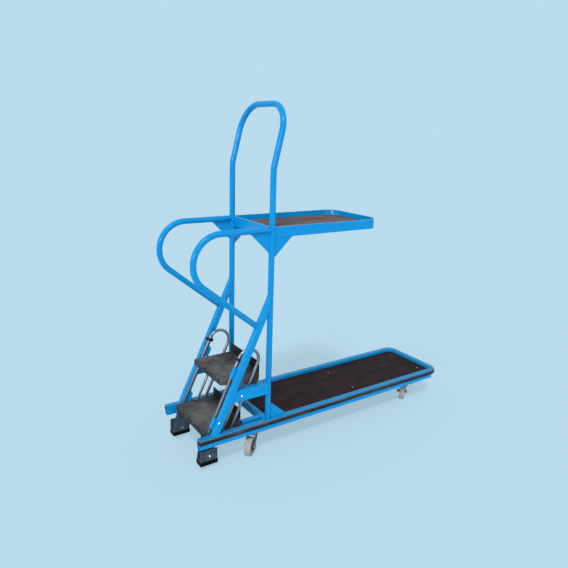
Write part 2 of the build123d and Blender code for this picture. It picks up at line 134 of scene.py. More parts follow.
# Screws and bolts: places and heights of their middles, sizes across flats, radii of round heads, and
# a head's height and its washer's radius as shares of the size across flats
HEAD_SINK = 0.0002
HEAD_HEIGHT_SHARE = 0.42
WASHER_SHARE = 0.72
WASHER_T = 0.0014
WASHER_SINK = 0.0003
DECK_SCREW_PLACES = (1.072, 1.641)
DECK_SCREW_Y = 0.118
DECK_SCREW_R = 0.0058
SHELF_SCREW_SHARES = (0.12, 0.5, 0.84)
SHELF_SCREW_INSET = 0.016
SHELF_SCREW_R = 0.0055
FRAME_BOLTS = ((0.2375, 0.365, 0.012), (0.1100, 0.251, 0.009))
CHEEK_BOLT_PLACE = 0.0576
CHEEK_BOLT_DROP = 0.020
CHEEK_BOLT = 0.010
BRACKET_BOLT_PLACE = 0.0840
BRACKET_BOLT_HEIGHT = 0.0750
BRACKET_BOLT = 0.006
ROD_NUT_RISE = 0.002
ROD_NUT = 0.017
LOCK_NUT_PROFILE = ((0, 0), (0.0098, 0), (0.0098, 0.007), (0.0085, 0.009), (0, 0.009))
FOOT_BOLT_PLACE = 0.0684
FOOT_BOLT_HEIGHT = 0.0665
WEB_BOLT_HEIGHT = 0.0600
FOOT_BOLT = 0.011
EAR_OFFSET = 0.019
EAR_SIZE = (0.009, 0.011, 0.012)
EAR_ROUND = 0.0015
EAR_SCREW = 0.008
PLATE_BOLT_X = 0.040
PLATE_BOLT_Y = 0.030
PLATE_BOLT = 0.013
RACE_RING_R = 0.0362
RACE_RING_DROP = 0.0045
RACE_WIRE_R = 0.0012
RACE_RIPPLE = 0.02
AXLE_NUT = 0.016

# Soft edges on the solids, wider on rubber and plywood, and the angles from which an edge is softened
# or shaded sharp
EDGE_WIDTH = {"foot_pads": 0.0025, "deck_board": 0.0012, "shelf_board": 0.0012}
PLAIN_EDGE_WIDTH = 0.0008
EDGE_ANGLE = radians(40)
SHARP_ANGLE = radians(32)
MERGE_DISTANCE = 0.00001


def lin(r, g, b):
    """A 0 to 255 screen colour as Blender's linear colour."""
    def one(c):
        c /= 255
        return c / 12.92 if c <= 0.04045 else ((c + 0.055) / 1.055) ** 2.4
    return (one(r), one(g), one(b), 1)


# Floor, sky, suns and camera
BACKGROUND = lin(187, 220, 237)
FLOOR_REACH = 3000
FLOOR_PLAIN_SHARE = 0.65
HORIZON = 1.3
ZENITH = 0.40
SKY_FALL = 0.6
SUNS = (("key_sun", (-0.5, -0.7, 1.25), 1.6, 12), ("side_sun", (-0.85, -0.5, 0.28), 0.7, 6))
CAMERA_SENSOR = 36
CAMERA_LENS = 34.56
CAMERA_REACH = 10000
CAMERA_PLACE = (-1.0157 + STEP_END, -2.3872, 1.6544)
CAMERA_RIGHT = Vector((0.8292, -0.5583, 0.0306))
CAMERA_UP = Vector((0.1250, 0.2384, 0.9631))
CAMERA_AHEAD = Vector((0.5450, 0.7947, -0.2674))


class Shader:
    """Adds nodes to one material and links them."""

    def __init__(self, name):
        self.mat = bpy.data.materials.new(name)
        self.mat.use_nodes = True
        self.tree = self.mat.node_tree
        self.bsdf = self.tree.nodes["Principled BSDF"]
        self.place = self.add("ShaderNodeTexCoord").outputs["Object"]

    def add(self, kind, **settings):
        node = self.tree.nodes.new(kind)
        for key, value in settings.items():
            setattr(node, key, value)
        return node

    def put(self, socket, value):
        if isinstance(value, bpy.types.NodeSocket):
            self.tree.links.new(value, socket)
        else:
            socket.default_value = value

    def noise(self, scale, detail, rough=0.5, stretch=(1, 1, 1)):
        mapping = self.add("ShaderNodeMapping")
        mapping.inputs["Scale"].default_value = stretch
        self.put(mapping.inputs["Vector"], self.place)
        node = self.add("ShaderNodeTexNoise")
        self.put(node.inputs["Vector"], mapping.outputs["Vector"])
        node.inputs["Scale"].default_value = scale
        node.inputs["Detail"].default_value = detail
        node.inputs["Roughness"].default_value = rough
        return node.outputs["Fac"]

    def cells(self, scale):
        node = self.add("ShaderNodeTexVoronoi", feature="F1")
        self.put(node.inputs["Vector"], self.place)
        node.inputs["Scale"].default_value = scale
        return node.outputs["Distance"]

    def ramp(self, value, start, end, to_start=0.0, to_end=1.0):
        node = self.add("ShaderNodeMapRange", clamp=True)
        self.put(node.inputs["Value"], value)
        for key, number in (("From Min", start), ("From Max", end),
                            ("To Min", to_start), ("To Max", to_end)):
            node.inputs[key].default_value = number
        return node.outputs["Result"]

    def patchy(self, noise, least, most):
        """A value that wanders between two limits."""
        return self.ramp(noise, 0.3, 0.7, least, most)

    def math(self, operation, a, b):
        node = self.add("ShaderNodeMath", operation=operation)
        self.put(node.inputs[0], a)
        self.put(node.inputs[1], b)
        return node.outputs[0]

    def times(self, a, b):
        return self.math("MULTIPLY", a, b)

    def mix(self, share, a, b):
        node = self.add("ShaderNodeMix", data_type="RGBA")
        self.put(node.inputs["Factor"], share)
        self.put(node.inputs[6], a)
        self.put(node.inputs[7], b)
        return node.outputs[2]

    def part(self, vector, axis):
        split = self.add("ShaderNodeSeparateXYZ")
        self.put(split.inputs[0], vector)
        return split.outputs[axis]

    def normal_part(self, axis):
        return self.part(self.add("ShaderNodeNewGeometry").outputs["Normal"], axis)

    def facing_up(self, start=0.6, end=0.95):
        return self.ramp(self.normal_part("Z"), start, end)

    def edges(self, radius):
        """1 along edges and 0 on flats; edge wear is tinted there, and on the blue coat painted shade."""
        bevel = self.add("ShaderNodeBevel", samples=4)
        bevel.inputs["Radius"].default_value = radius
        geometry = self.add("ShaderNodeNewGeometry")
        dot = self.add("ShaderNodeVectorMath", operation="DOT_PRODUCT")
        self.put(dot.inputs[0], bevel.outputs["Normal"])
        self.put(dot.inputs[1], geometry.outputs["Normal"])
        return self.ramp(self.math("SUBTRACT", 1.0, dot.outputs["Value"]), 0.02, 0.25)

    def stained(self, color, tint, share, noise, start, end):
        """The colour with a share of a tint where a noise passes from start to end."""
        return self.mix(self.ramp(noise, start, end, 0, share), color, tint)

    def edge_wear_and_shade(self, color, tint, share, radius, noise, start, end):
        """The colour with a share of a tint along edges, in the patches of a noise."""
        wear = self.times(self.edges(radius), self.ramp(noise, start, end))
        return self.mix(self.times(wear, share), color, tint)

    def bump(self, height, distance, strength):
        node = self.add("ShaderNodeBump")
        node.inputs["Strength"].default_value = strength
        node.inputs["Distance"].default_value = distance
        self.put(node.inputs["Height"], height)
        return node.outputs["Normal"]

    def finish(self, color, rough, normal, **fixed):
        self.put(self.bsdf.inputs["Base Color"], color)
        self.put(self.bsdf.inputs["Roughness"], rough)
        self.put(self.bsdf.inputs["Normal"], normal)
        for key, value in fixed.items():
            self.bsdf.inputs[key.replace("_", " ")].default_value = value
        return self.mat


def powder_coat(name, top_sheen_color, least, most):
    """Blue coat, its upward faces mixed toward another colour by a share between least and most: a painted sheen
    on the tops.
    """
    s = Shader(name)
    color = s.mix(s.noise(3.1, 3), lin(0, 134, 200), lin(0, 152, 222))
    # The film on upward faces is painted sheen: the tops made paler or greyer, as light falls on them.
    film = s.times(s.facing_up(), s.ramp(s.noise(26, 5), 0.3, 0.75, least, most))
    color = s.mix(film, color, top_sheen_color)
    # Darker blue along the edges: painted shade along the edges.
    color = s.edge_wear_and_shade(color, lin(4, 84, 142), 0.7, 0.0016, s.noise(60, 6, 0.7), 0.36, 0.6)
    color = s.stained(color, lin(4, 98, 166), 0.5, s.noise(34, 8, 0.75, (1, 1, 6)), 0.60, 0.72)
    color = s.stained(color, lin(110, 158, 190), 0.35, s.noise(16, 10, 0.8, (0.5, 1, 5)), 0.62, 0.68)
    peel = s.bump(s.noise(420, 2), 0.00012, 0.15)
    return s.finish(color, s.patchy(s.noise(40, 4), 0.13, 0.22), peel, Specular_IOR_Level=0.22)


def rubber(name, light, dark, streak, dust_and_sheen, shine=0.3, scuffs=0.0):
    """Rubber with lengthwise scuffs, worn edges, and a paler tint on its upward faces: dusty on tyres and pads, a
    painted highlight on the bumper.
    """
    s = Shader(name)
    color = s.mix(s.noise(14, 5, 0.6), dark, light)
    color = s.stained(color, streak, scuffs, s.noise(24, 8, 0.7, (0.25, 0.25, 3)), 0.5, 0.66)
    # Upward faces turn paler: dusty on tyres and pads, and on the bumper a painted highlight of its rounded top.
    settled = s.times(s.facing_up(0.25, 0.8), s.patchy(s.noise(30, 5), 0.35, 1))
    color = s.mix(settled, color, dust_and_sheen)
    color = s.mix(s.times(s.edges(0.002), 0.5), color, streak)
    grain = s.bump(s.noise(1300, 2), 0.00015, 0.6)
    return s.finish(color, s.patchy(s.noise(90, 4), 0.5, 0.72), grain, Specular_IOR_Level=shine)


def film_plywood(name, light, dark, scuff):
    """Plywood faced with a fine-meshed film, scratched along its length."""
    s = Shader(name)
    color = s.mix(s.ramp(s.noise(7, 7, 0.65, (0.5, 1.6, 1)), 0.36, 0.64), dark, light)
    color = s.stained(color, scuff, 0.3, s.noise(22, 10, 0.7, (0.4, 5, 1)), 0.60, 0.72)
    color = s.stained(color, dark, 0.25, s.noise(9, 8, 0.7), 0.5, 0.75)
    mesh = s.bump(s.cells(420), 0.00012, 0.5)
    return s.finish(color, s.patchy(s.noise(18, 5), 0.55, 0.75), mesh, Specular_IOR_Level=0.07)


def grit(name, back):
    """Grit coating, with painted shade darkening it toward the back edge of the tread."""
    s = Shader(name)
    color = s.mix(s.ramp(s.noise(8, 6, 0.6), 0.38, 0.62), lin(42, 43, 42), lin(102, 105, 103))
    color = s.stained(color, lin(146, 147, 146), 0.5, s.noise(1500, 2), 0.56, 0.70)
    color = s.stained(color, lin(50, 49, 48), 0.4, s.noise(12, 7, 0.7, (5, 0.6, 1)), 0.52, 0.7)
    # Darker toward the back edge: painted shade from the stringer and the kick plate behind the tread.
    nearness = s.ramp(s.part(s.place, "X"), back - 0.11, back - 0.01, 0, 0.65)
    painted_back_shade = s.times(nearness, s.ramp(s.noise(11, 5), 0.35, 0.6, 0.5, 1))
    color = s.mix(painted_back_shade, color, lin(30, 30, 30))
    front = s.times(s.ramp(s.normal_part("X"), -0.35, -0.9), 0.85)
    blotches = s.mix(s.ramp(s.noise(45, 6, 0.7), 0.45, 0.65), lin(28, 31, 34), lin(82, 88, 98))
    color = s.mix(front, color, blotches)
    color = s.edge_wear_and_shade(color, lin(150, 148, 146), 0.8, 0.005, s.noise(40, 5), 0.3, 0.6)
    grain = s.bump(s.noise(1100, 3, 0.7), 0.0005, 0.8)
    return s.finish(color, 0.85, grain, Specular_IOR_Level=0.15)


def black_coat():
    s = Shader("black_coat")
    color = s.mix(s.noise(12, 5), lin(14, 14, 18), lin(30, 30, 36))
    color = s.edge_wear_and_shade(color, lin(110, 112, 118), 0.7, 0.0018, s.noise(50, 5), 0.4, 0.65)
    grain = s.bump(s.noise(500, 3), 0.00015, 0.6)
    return s.finish(color, s.patchy(s.noise(30, 4), 0.45, 0.6), grain, Specular_IOR_Level=0.3)


def metal(name, light, dark, rust, rough_from, rough_to, stretch=(1, 1, 1), metallic=1.0):
    """Bare or plated metal with dull spots, its grain stretched along an axis."""
    s = Shader(name)
    color = s.mix(s.noise(30, 6, 0.6, stretch), dark, light)
    color = s.stained(color, rust, 0.6, s.noise(55, 8, 0.7), 0.58, 0.75)
    rough = s.patchy(s.noise(80, 5, 0.6, stretch), rough_from, rough_to)
    fine = s.bump(s.noise(600, 3, 0.6, stretch), 0.0001, 0.4)
    return s.finish(color, rough, fine, Metallic=metallic)


def worn_bracket():
    """Dark worn steel with upright streaks and pale edges."""
    s = Shader("bracket_worn_steel")
    color = s.mix(s.noise(18, 6, 0.6), lin(52, 66, 84), lin(88, 100, 118))
    color = s.stained(color, lin(26, 34, 46), 0.75, s.noise(38, 9, 0.75, (1, 1, 0.25)), 0.48, 0.64)
    color = s.edge_wear_and_shade(color, lin(150, 152, 160), 0.8, 0.003, s.noise(50, 5), 0.4, 0.65)
    dents = s.bump(s.noise(300, 4, 0.6), 0.0002, 0.6)
    return s.finish(color, s.patchy(s.noise(60, 4), 0.42, 0.62), dents, Metallic=0.35)


def moulded(name, light, dark):
    """Moulded plastic with grimy patches."""
    s = Shader(name)
    color = s.mix(s.noise(25, 4), dark, light)
    color = s.stained(color, lin(70, 64, 58), 0.4, s.noise(70, 7, 0.7), 0.55, 0.75)
    return s.finish(color, s.patchy(s.noise(60, 4), 0.45, 0.65), s.bump(s.noise(900, 2), 0.0001, 0.5))


SLOT_MATS = {
    # The frame coat's tube tops take up to 0.15 of a paler blue: painted sheen.
    "frame_paint": powder_coat("frame_blue_coat", lin(60, 150, 200), 0.0, 0.15),
    # The bumper's upward-face colour, lin(100, 92, 90), is a painted highlight on its rounded top.
    "bumper_rubber": rubber(
        "bumper_black_rubber", lin(28, 28, 31), lin(12, 12, 15), lin(96, 94, 96), lin(100, 92, 90),
        scuffs=0.7),
    "deck_plywood": film_plywood("deck_brown_film", lin(52, 35, 37), lin(39, 27, 29), lin(70, 57, 57)),
    "shelf_plywood": film_plywood(
        "shelf_brown_film", lin(122, 101, 97), lin(84, 68, 66), lin(146, 132, 130)),
    "black_paint": black_coat(),
    "bracket_steel": worn_bracket(),
    "loop_steel": metal(
        "loop_drawn_steel", lin(190, 186, 192), lin(112, 109, 115), lin(118, 104, 92),
        0.24, 0.38, (1, 1, 0.3), 0.85),
    "castor_zinc": metal(
        "castor_zinc_plate", lin(196, 198, 200), lin(150, 152, 156), lin(120, 112, 96), 0.25, 0.45),
    "castor_tyre": rubber(
        "castor_grey_tyre", lin(182, 176, 170), lin(142, 138, 133), lin(118, 114, 110),
        lin(168, 163, 156)),
    "castor_hub": moulded("castor_grey_hub", lin(84, 84, 82), lin(58, 58, 58)),
}
BRIGHT_ZINC = metal(
    "bolt_bright_zinc", lin(232, 232, 230), lin(196, 198, 202), lin(150, 142, 128), 0.16, 0.3)
DULL_ZINC = metal(
    "bolt_dull_zinc", lin(150, 156, 166), lin(104, 110, 120), lin(92, 84, 76), 0.3, 0.46)
DARK_ZINC = metal(
    "fork_dark_zinc", lin(96, 98, 102), lin(40, 41, 46), lin(70, 62, 54), 0.26, 0.42)
# The shelf plates' upward faces are mostly pale: a painted highlight.
PLATE_PAINT = powder_coat("plate_blue_coat", lin(190, 208, 214), 0.6, 1.0)

# Solids that look different from the rest of their slot
NODE_MATS = {
    "foot_pads": rubber(
        "pad_black_rubber", lin(14, 18, 21), lin(6, 9, 11), lin(44, 48, 54), lin(18, 23, 27), 0.06),
    "shelf_cross_plate": PLATE_PAINT,
    "shelf_rim": PLATE_PAINT,
    # The rim's top faces turn greyer teal: a painted reflection of the sky.
    "platform_rim": powder_coat("rim_blue_coat", lin(54, 112, 136), 0.2, 0.65),
}
for tread in ("tread_lower", "tread_upper"):
    NODE_MATS[tread] = grit(f"{tread}_grit", high(tread).x)
for castor in CASTOR_AXES:
    NODE_MATS[f"castor_fork_{castor}"] = DARK_ZINC

for row in record["subparts"]:
    materials = nodes[row["node"]].data.materials
    materials.clear()
    materials.append(NODE_MATS.get(row["node"]) or SLOT_MATS[row["material_slot"]])

for name, piece in nodes.items():
    weld = piece.modifiers.new("weld", "WELD")
    weld.merge_threshold = MERGE_DISTANCE
    bevel = piece.modifiers.new("soft_edges", "BEVEL")
    bevel.width = EDGE_WIDTH.get(name, PLAIN_EDGE_WIDTH)
    bevel.segments = 2
    bevel.limit_method = "ANGLE"
    bevel.angle_limit = EDGE_ANGLE
    bevel.harden_normals = True


def finish_piece(name, bm, body, slot, material=None):
    """One smooth-shaded object from a bmesh, riding on a body."""
    bmesh.ops.recalc_face_normals(bm, faces=bm.faces)
    mesh = bpy.data.meshes.new(name)
    bm.to_mesh(mesh)
    bm.free()
    mesh.materials.append(material or SLOT_MATS[slot])
    for polygon in mesh.polygons:
        polygon.use_smooth = True
    mesh.set_sharp_from_angle(angle=SHARP_ANGLE)
    piece = bpy.data.objects.new(name, mesh)
    bpy.context.scene.collection.objects.link(piece)
    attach(piece, body)


def turned(bm, profile, place, direction, sides):
    """A closed turned form: (radius, height) pairs about an axis that starts at a place."""
    turn = Vector(direction).to_track_quat("Z", "Y").to_matrix()
    rings = []
    for radius, height in profile:
        count = sides if radius else 1
        angles = [2 * pi * i / sides for i in range(count)]
        rings.append([
            bm.verts.new(Vector(place) + turn @ Vector((radius * cos(a), radius * sin(a), height)))
            for a in angles])
    for near, far in zip(rings, rings[1:]):
        for i in range(sides):
            j = (i + 1) % sides
            corners = [near[i % len(near)], near[j % len(near)], far[j % len(far)], far[i % len(far)]]
            bm.faces.new(list(dict.fromkeys(corners)))


def washer(bm, place, direction, radius):
    """A thin round washer, its outer edge chamfered."""
    edge = WASHER_T / 3
    profile = [
        (0, -WASHER_SINK), (radius, -WASHER_SINK), (radius, WASHER_T - edge), (radius - edge, WASHER_T),
        (0, WASHER_T)]
    turned(bm, profile, place, direction, 24)


def hex_bolt(bm, place, direction, across, with_washer=True):
    """A hexagon head, its top chamfered, on a washer or bare. Gives the middle of its top."""
    direction = Vector(direction).normalized()
    radius = across / sqrt(3)
    height = across * HEAD_HEIGHT_SHARE
    base = Vector(place)
    if with_washer:
        washer(bm, base, direction, across * WASHER_SHARE)
        base = base + direction * WASHER_T
    profile = [
        (0, -HEAD_SINK), (radius, -HEAD_SINK), (radius, height * 0.82), (radius * 0.87, height),
        (0, height)]
    turned(bm, profile, base, direction, 6)
    return base + direction * height


def hex_nut(bm, place, direction, across):
    """A nut with the end of its thread standing out."""
    top = hex_bolt(bm, place, direction, across)
    thread = across * 0.31
    profile = [
        (0, -HEAD_SINK), (thread, -HEAD_SINK), (thread, across * 0.12), (thread * 0.8, across * 0.17),
        (0, across * 0.17)]
    turned(bm, profile, top, Vector(direction).normalized(), 16)


def socket_screw(bm, place, direction, radius):
    """A low domed screw head with a round socket."""
    height = radius * 0.55
    profile = [
        (0, -HEAD_SINK), (radius, -HEAD_SINK), (radius, height * 0.3), (radius * 0.86, height * 0.72),
        (radius * 0.62, height), (radius * 0.42, height), (radius * 0.38, height * 0.45),
        (0, height * 0.4)]
    turned(bm, profile, place, direction, 18)


def evenly(points, step, closed):
    """The points of a path again, at even steps along it."""
    path = [Vector(p) for p in points]
    if closed:
        path.append(path[0])
    lengths = [(b - a).length for a, b in zip(path, path[1:])]
    count = max(3, ceil(sum(lengths) / step))
    spacing = sum(lengths) / count
    out = []
    index, done = 0, 0.0
    for k in range(count if closed else count + 1):
        target = k * spacing
        while index < len(lengths) - 1 and done + lengths[index] < target - 1e-9:
            done += lengths[index]
            index += 1
        share = (target - done) / lengths[index]
        out.append(path[index].lerp(path[index + 1], min(share, 1.0)))
    return out


def bead(bm, points, closed=False, radius=BEAD_R, ripple=RIPPLE):
    """A weld bead along a path, swelling with each ripple."""
    rings_per_ripple = 3
    path = evenly(points, ripple / rings_per_ripple, closed)
    sides = 6
    circle = [Vector((cos(2 * pi * i / sides), sin(2 * pi * i / sides), 0)) for i in range(sides)]
    rings = []
    for k, point in enumerate(path):
        before = path[k - 1] if closed or k else point
        after = path[(k + 1) % len(path)] if closed or k < len(path) - 1 else point
        turn = (after - before).to_track_quat("Z", "Y").to_matrix()
        end = not closed and k in (0, len(path) - 1)
        swell = radius * (0.45 if end else 1 + 0.16 * sin(2 * pi * k / rings_per_ripple + 0.6))
        rings.append([bm.verts.new(point + turn @ spoke * swell) for spoke in circle])
    pairs = list(zip(rings, rings[1:]))
    if closed:
        pairs.append((rings[-1], rings[0]))
    for near, far in pairs:
        shift = min(range(sides), key=lambda s: (near[0].co - far[s].co).length)
        for i in range(sides):
            j = (i + 1) % sides
            bm.faces.new([near[i], near[j], far[(j + shift) % sides], far[(i + shift) % sides]])
    if not closed:
        bm.faces.new(rings[0])
        bm.faces.new(rings[-1])


def arc(middle, u, v, radius, start, end, count=24):
    """Points of an arc in the plane of two directions, angles in degrees."""
    spread = (radians(start + (end - start) * i / count) for i in range(count + 1))
    return [Vector(middle) + Vector(u) * radius * cos(a) + Vector(v) * radius * sin(a) for a in spread]


def circle_points(middle, u, v, radius, count=24):
    """Points round a whole circle, which a closed bead joins up."""
    return arc(middle, u, v, radius, 0, 360 - 360 / count, count)


def at(place, y, z):
    """A point by its distance from the rails' step end."""
    return Vector((STEP_END + place, y, z))


def stringer_point(offset, y, z):
    """A point on the stringer's centre line at a height, moved square to the line."""
    line_x = STRINGER_X + (z - RIM_TOP) / tan(SLOPE)
    return Vector((line_x + offset / sin(SLOPE), y, z))


def leg_point(z):
    """A point on a loop's front leg, in the middle plane."""
    return Vector((STEP_END + LEG_PLACE + (z - LEG_LEVEL) / tan(SLOPE), 0, z))


# The handrail's straight end: its direction, and the direction square to it in the middle plane
HANDRAIL_RUN = Vector((cos(HANDRAIL_LEAN), 0, -sin(HANDRAIL_LEAN)))
HANDRAIL_LIFT = Vector((sin(HANDRAIL_LEAN), 0, cos(HANDRAIL_LEAN)))


def slid_to_stringer(point, on_face):
    """A point slid along the handrail onto the stringer's front face, given a point on that face."""
    return point + HANDRAIL_RUN * ((on_face - point).dot(SQUARE) / HANDRAIL_RUN.dot(SQUARE))


HANDRAIL_BEND_END = Vector((
    STEP_END + HANDRAIL_ARC - HANDRAIL_R * sin(HANDRAIL_LEAN), 0,
    HANDRAIL_Z - HANDRAIL_R * (1 + cos(HANDRAIL_LEAN))))
HANDRAIL_END = slid_to_stringer(HANDRAIL_BEND_END, stringer_point(-STRINGER_DEPTH / 2, 0, RIM_TOP))


def upright_beads(bm, y):
    """Post and stringer on the rim, stringer and brace round the post, brace on the stringer's back."""
    half = STRINGER_DEPTH / 2
    bead(bm, circle_points((POST_X, y, RIM_TOP), X, Y, TUBE_R), closed=True)
    foot = [(-half, -TUBE_R), (half, -TUBE_R), (half, TUBE_R), (-half, TUBE_R)]
    bead(bm, [stringer_point(along, y + across, RIM_TOP) for along, across in foot], closed=True)
    for offset in (-half, half):
        top = []
        for p in arc((POST_X, y, 0), X, Y, TUBE_R, 90, 270):
            on_line = (p.x - STRINGER_X - offset / sin(SLOPE)) * tan(SLOPE) + RIM_TOP
            top.append(Vector((p.x, p.y, on_line)))
        bead(bm, top)
    for z in (BRACE_LOW, BRACE_TOP):
        bead(bm, arc((POST_X, y, z), X, Y, TUBE_R, 90, 270))
    for across in (-TUBE_R, TUBE_R):
        bead(bm, [(POST_X, y + across, z) for z in (BRACE_LOW, BRACE_TOP)])
        bead(bm, [stringer_point(half, y + across, z) for z in (BRACE_LOW, BRACE_TOP)])


def handrail_beads(bm, y):
    """The handrail into the post and onto the stringer's front face."""
    saddle = []
    for p in circle_points((0, y, HANDRAIL_Z), Y, Z, TUBE_R):
        reach = sqrt(max(TUBE_R ** 2 - (p.y - y) ** 2, 0))
        saddle.append(Vector((POST_X - reach, p.y, p.z)))
    bead(bm, saddle, closed=True)
    end = HANDRAIL_END + Y * y
    foot = [slid_to_stringer(p, end) for p in circle_points(end, Y, HANDRAIL_LIFT, TUBE_R)]
    bead(bm, foot, closed=True)


def gusset_beads(bm, y):
    """Along both faces of the gussets at the post's foot and under the handrail and shelf."""
    post_back = POST_X + TUBE_R
    runs = [((post_back, RIM_TOP), (post_back, high("post_gussets").z)),
            ((post_back, RIM_TOP), (high("post_gussets").x, RIM_TOP))]
    for reach, outer, top in ((-1, low("shelf_gussets").x, HANDRAIL_Z - TUBE_R),
                              (1, high("shelf_gussets").x, SHELF_LOW)):
        inner = POST_X + reach * TUBE_R
        runs.append(((inner, top - GUSSET_DROP), (inner, top)))
        runs.append(((inner, top), (outer, top)))
    for across in (-GUSSET_T / 2, GUSSET_T / 2):
        for run in runs:
            bead(bm, [(x, y + across, z) for x, z in run], radius=PLATE_BEAD_R)


def rim_beads(bm, y):
    """Stitches between rim and rail, and the member between the posts, on the inner faces."""
    seam = high("rail_left").z
    start = STEP_END + STITCH_START
    while start < high("rail_left").x - STITCH_MARGIN:
        bead(bm, [(start, y, seam), (start + STITCH_LENGTH, y, seam)])
        start += STITCH_SPACING
    for reach in (-MEMBER_WIDTH / 2, MEMBER_WIDTH / 2):
        bead(bm, [(POST_X + reach, y, RIM_TOP - drop) for drop in (MEMBER_BEAD_LOW, MEMBER_BEAD_HIGH)])


def frame_welds():
    """Beads where the frame's tubes and plates meet."""
    bm = bmesh.new()
    for sign in SIDES:
        upright_beads(bm, sign * SIDE_Y)
        handrail_beads(bm, sign * SIDE_Y)
        gusset_beads(bm, sign * SIDE_Y)
        rim_beads(bm, sign * RAIL_INNER_Y)
    finish_piece("frame_weld_beads", bm, "frame", "frame_paint")


def guide_welds():
    """Beads round the step guides, on the stringers' inner faces."""
    bm = bmesh.new()
    half = GUIDE_LENGTH / 2
    outline = ((-GUIDE_FRONT, -half), (GUIDE_TAIL, -half), (GUIDE_TAIL, half), (-GUIDE_FRONT, half))
    for sign in SIDES:
        for tread in ("tread_lower", "tread_upper"):
            middle = leg_point(high(tread).z + GUIDE_RISE)
            corners = [middle + SQUARE * a + ALONG * b for a, b in outline]
            path = [Vector((c.x, sign * STRINGER_INNER_Y, c.z)) for c in corners]
            bead(bm, path, closed=True, radius=GUIDE_BEAD_R)
    finish_piece("guide_weld_beads", bm, "frame", "frame_paint")


def step_welds():
    """Beads where the loops' legs cross the treads' cheeks."""
    bm = bmesh.new()
    rear = LEG_SPACING / sin(SLOPE)
    for sign in SIDES:
        bead_y = sign * (CHEEK_Y + CHEEK_BEAD_PROUD)
        for tread, length in CHEEK_BEAD_LENGTHS:
            top = high(tread).z - CHEEK_BEAD_DROP
            bottom = max(top - length, low("step_loop_left").z + CHEEK_BEAD_MARGIN)
            front = low(tread).x + CHEEK_BEAD_MARGIN
            back = high(tread).x - CHEEK_BEAD_MARGIN
            for shift in (0, rear):
                for edge in (-LEG_BEAD_OFFSET, LEG_BEAD_OFFSET):
                    run = [leg_point(z) + X * (shift + edge) for z in (bottom, top)]
                    if all(front < p.x < back for p in run):
                        bead(bm, [Vector((p.x, bead_y, p.z)) for p in run], radius=PLATE_BEAD_R)
    finish_piece("step_weld_beads", bm, "steps", "loop_steel")


def deck_screws():
    bm = bmesh.new()
    for place in DECK_SCREW_PLACES:
        for y in (-DECK_SCREW_Y, DECK_SCREW_Y):
            socket_screw(bm, at(place, y, DECK_TOP), Z, DECK_SCREW_R)
    finish_piece("deck_screws", bm, "frame", "castor_zinc", DULL_ZINC)


def shelf_screws():
    """Screws up through the ledge into the shelf board."""
    bm = bmesh.new()
    start, end = low("shelf_rim").x, high("shelf_rim").x
    ledge_y = high("shelf_rim").y - SHELF_SCREW_INSET
    for share in SHELF_SCREW_SHARES:
        for y in (-ledge_y, ledge_y):
            socket_screw(bm, (start + share * (end - start), y, SHELF_LOW), -Z, SHELF_SCREW_R)
    finish_piece("shelf_screws", bm, "frame", "castor_zinc", BRIGHT_ZINC)


def frame_bolts():
    """The bolts on the braces and stringers."""
    bm = bmesh.new()
    for sign in SIDES:
        for place, height, across in FRAME_BOLTS:
            hex_bolt(bm, at(place, sign * (SIDE_Y + TUBE_R), height), Y * sign, across, False)
    finish_piece("frame_bolts", bm, "frame", "castor_zinc", BRIGHT_ZINC)


def step_bolts():
    """Dull bolts of the cheeks and brackets, and the nuts at the spring rods' feet."""
    bm = bmesh.new()
    cheek_bolt_z = high("tread_lower").z - CHEEK_BOLT_DROP
    rod_y = CHEEK_Y + ROD_R + SEAT_GAP
    rod_foot = leg_point(low("spring_rods").z + ROD_NUT_RISE) + X * (ROD_SPACING / sin(SLOPE))
    for sign in SIDES:
        hex_bolt(bm, at(CHEEK_BOLT_PLACE, sign * CHEEK_Y, cheek_bolt_z), Y * sign, CHEEK_BOLT)
        bracket_bolt = at(BRACKET_BOLT_PLACE, sign * FOOT_OUTER_Y, BRACKET_BOLT_HEIGHT)
        hex_bolt(bm, bracket_bolt, Y * sign, BRACKET_BOLT, False)
        foot = rod_foot + Y * sign * rod_y
        hex_nut(bm, foot, -ALONG, ROD_NUT)
        turned(bm, LOCK_NUT_PROFILE, foot, ALONG, 6)
    finish_piece("step_bolts", bm, "steps", "castor_zinc", DULL_ZINC)


def foot_bolts():
    """Bright bolts through the foot brackets and the channels' webs."""
    bm = bmesh.new()
    web_y = CHEEK_Y - (SHEET_T + SEAT_GAP) - BRACKET_T
    for sign in SIDES:
        outer = at(FOOT_BOLT_PLACE, sign * FOOT_OUTER_Y, FOOT_BOLT_HEIGHT)
        hex_bolt(bm, outer, Y * sign, FOOT_BOLT, False)
        inner = at(FOOT_BOLT_PLACE, sign * web_y, WEB_BOLT_HEIGHT)
        hex_bolt(bm, inner, Y * -sign, FOOT_BOLT, False)
    finish_piece("foot_bolts", bm, "steps", "castor_zinc", BRIGHT_ZINC)


def collar_clamps():
    """Ears, and the screws through them, that draw the split collars tight on the loops."""
    bm = bmesh.new()
    screws = bmesh.new()
    middle_z = (low("stop_collars").z + high("stop_collars").z) / 2
    for sign in SIDES:
        middle = leg_point(middle_z) + Y * sign * LOOP_Y
        for ear in (-1, 1):
            centre = middle + SQUARE * ear * EAR_OFFSET
            matrix = Matrix((SQUARE, Y, ALONG)).transposed().to_4x4()
            matrix.translation = centre
            box = bmesh.ops.create_cube(bm, size=1)
            size = Matrix.Diagonal((*EAR_SIZE, 1))
            bmesh.ops.transform(bm, matrix=matrix @ size, verts=box["verts"])
            edges = {edge for vertex in box["verts"] for edge in vertex.link_edges}
            bmesh.ops.bevel(bm, geom=list(edges), offset=EAR_ROUND, segments=2, affect="EDGES")
            for way in (1, -1):
                hex_bolt(screws, centre + ALONG * (way * EAR_SIZE[2] / 2), ALONG * way, EAR_SCREW, False)
    finish_piece("collar_ears", bm, "steps", "black_paint")
    finish_piece("collar_screws", screws, "steps", "black_paint", DULL_ZINC)


